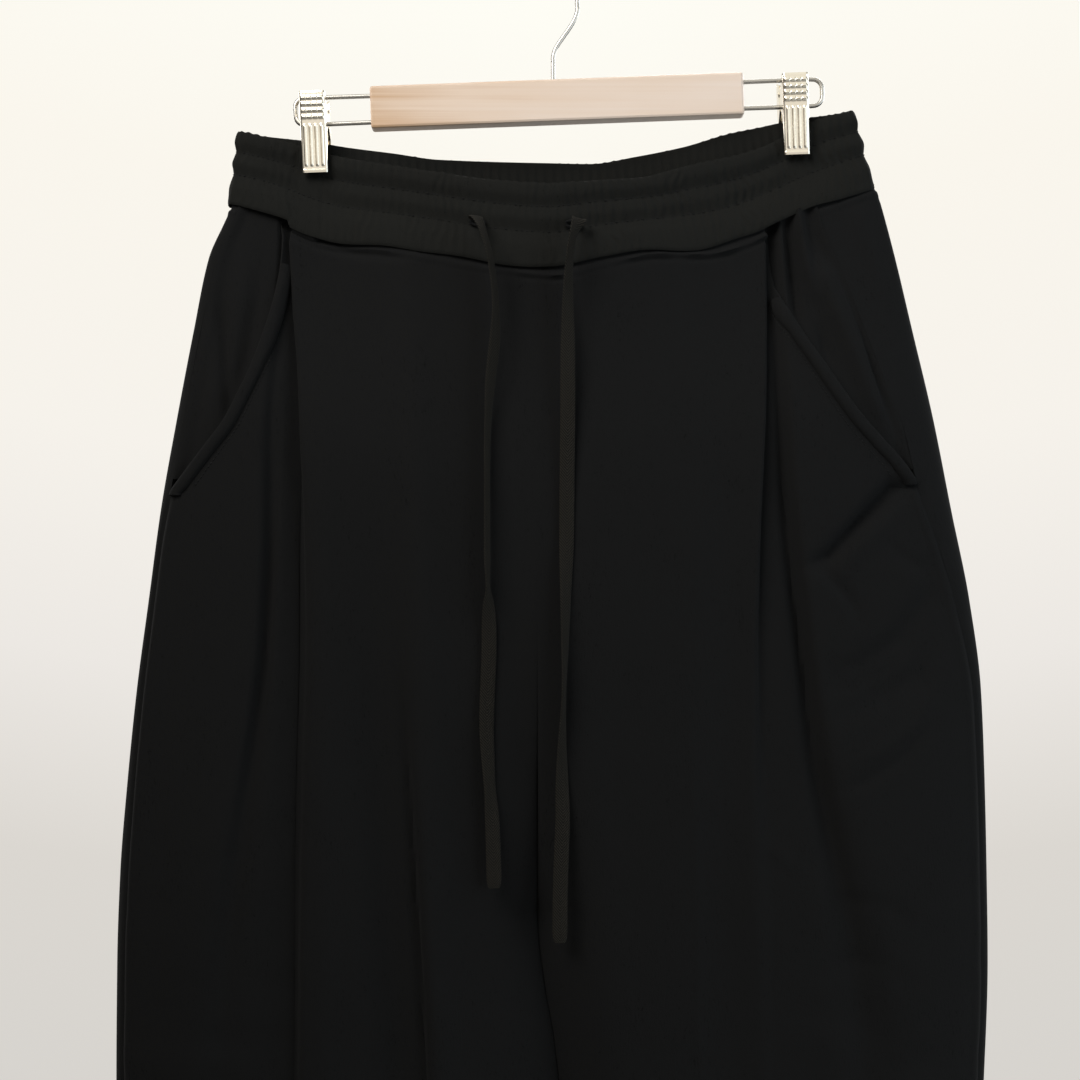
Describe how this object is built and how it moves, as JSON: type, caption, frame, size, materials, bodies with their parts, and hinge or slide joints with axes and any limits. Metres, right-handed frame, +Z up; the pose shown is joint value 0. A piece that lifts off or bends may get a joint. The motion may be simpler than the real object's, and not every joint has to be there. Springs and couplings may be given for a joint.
{
  "type": "sweatpants on a clip hanger",
  "caption": "Wide-legged black sweatpants with an elastic drawstring waist and slanted pockets, held by the waistband on a wood and steel clip hanger.",
  "frame": {"origin": "inner top of the hook's round, where the hanger hangs on a rail", "axes": "+Z up, +X to the right as one faces the front of the garment, which faces -Y"},
  "size_m": [0.5653, 0.0865, 1.1237],
  "materials": {
    "black_sweat_fabric": "matt brushed knit",
    "black_waistband": "matt gathered knit over elastic",
    "black_brown_braid": "matt flat braid",
    "pale_wood": "satin lacquer",
    "nickel_plate": "polished nickel plate",
    "steel_wire": "satin"
  },
  "bodies": {
    "root": {"back_left": "black_sweat_fabric", "back_right": "black_sweat_fabric", "clip_back_left": "nickel_plate", "clip_back_right": "nickel_plate", "clip_front_left": "nickel_plate", "clip_front_right": "nickel_plate", "clip_spring_left": "steel_wire", "clip_spring_right": "steel_wire", "drawstring_left": "black_brown_braid", "drawstring_right": "black_brown_braid", "front_left": "black_sweat_fabric", "front_right": "black_sweat_fabric", "hanger_bar": "pale_wood", "hook": "steel_wire", "pocket_band_left": "black_sweat_fabric", "pocket_band_right": "black_sweat_fabric", "pocket_facing_left": "black_sweat_fabric", "pocket_facing_right": "black_sweat_fabric", "rack_wire_left": "steel_wire", "rack_wire_right": "steel_wire", "waistband": "black_waistband"}
  },
  "joints": []
}
